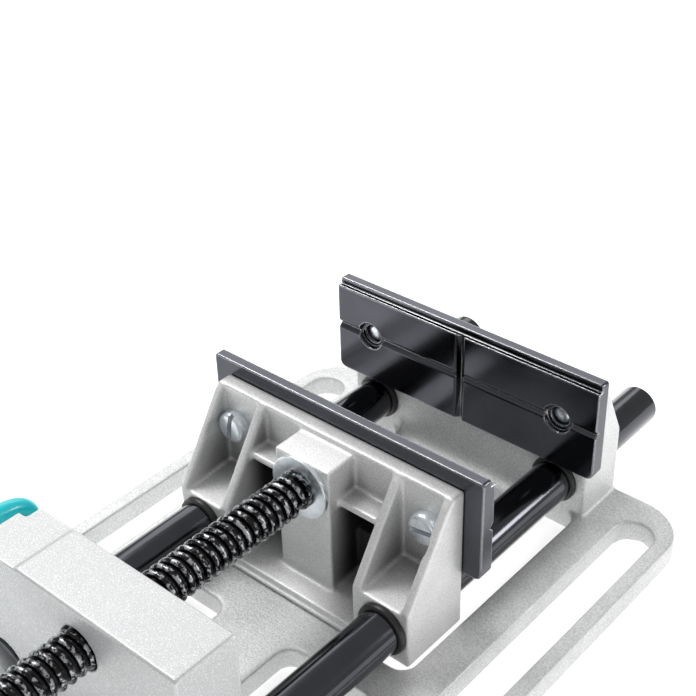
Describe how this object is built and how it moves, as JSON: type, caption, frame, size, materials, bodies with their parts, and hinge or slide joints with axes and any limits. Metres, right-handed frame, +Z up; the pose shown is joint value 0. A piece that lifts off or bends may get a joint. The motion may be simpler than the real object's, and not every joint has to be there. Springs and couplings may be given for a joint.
{
  "type": "bench vise",
  "caption": "Drill-press bench vise with guide rods, grooved steel jaw plates, threaded spindle and a quick-release lever on a slotted cast base.",
  "frame": {"origin": "centre of the base casting's rectangle, on its underside", "axes": "+Z up, +Y from the handle towards the fixed jaw and along the jaw's travel, +X to the right seen from the handle"},
  "size_m": [0.1484, 0.3003, 0.0599],
  "materials": {
    "casting": "sand-cast light metal, tumbled and satin",
    "block_casting": "sand-cast light metal, lightly sprayed",
    "jaw_steel": "hardened steel, black and polished",
    "rod_steel": "drawn bar, black and polished",
    "thread_steel": "rolled thread, black and oiled",
    "zinc": "bright blue zinc plate",
    "bush_plastic": "black moulded",
    "lever_teal": "dip-coated steel bar",
    "nut_bronze": "cast bronze"
  },
  "bodies": {
    "base": {"base_casting": "casting", "fixed_plate": "jaw_steel", "fixed_plate_screws": "zinc", "guide_rod_left": "rod_steel", "guide_rod_right": "rod_steel", "rod_pins": "zinc", "rod_rings": "bush_plastic", "nut_block": "block_casting", "block_screws": "zinc", "rod_grub_screws": "thread_steel"},
    "jaw": {"moving_jaw": "casting", "moving_plate": "jaw_steel", "moving_plate_screws": "zinc", "rod_bushes": "bush_plastic"},
    "screw": {"spindle": "thread_steel", "front_washer": "zinc", "thrust_washer": "zinc", "spindle_clip": "thread_steel", "spindle_hub": "rod_steel", "hub_pin": "zinc"},
    "handle": {"handle_bar": "zinc", "bar_knobs": "bush_plastic"},
    "lever": {"cam_shaft": "zinc", "release_lever": "lever_teal", "lever_screw": "zinc"},
    "nut": {"half_nut": "nut_bronze"}
  },
  "joints": [
    {"name": "jaw_slide", "type": "slide", "parent": "base", "child": "jaw", "axis": [0, 1, 0], "range_m": [-0.049, 0.0507]},
    {"name": "spindle_turn", "type": "hinge", "parent": "jaw", "child": "screw", "pos_m": [0, 0, 0.0448], "axis": [0, 1, 0], "range_deg": [-5900, 6100]},
    {"name": "bar_slide", "type": "slide", "parent": "screw", "child": "handle", "axis": [1, 0, 0], "range_m": [-0.025, 0.025]},
    {"name": "lever_turn", "type": "hinge", "parent": "base", "child": "lever", "pos_m": [0, -0.07205, 0.0315], "axis": [-1, 0, 0], "range_deg": [0, 90]},
    {"name": "nut_drop", "type": "slide", "parent": "base", "child": "nut", "axis": [0, 0, 1], "range_m": [-0.0026, 0.0001]}
  ],
  "couplings": [
    {"joint": "spindle_turn", "follows": "jaw_slide", "rad_per_m": 2094.4},
    {"joint": "nut_drop", "follows": "lever_turn", "m_per_rad": -0.0016206}
  ]
}
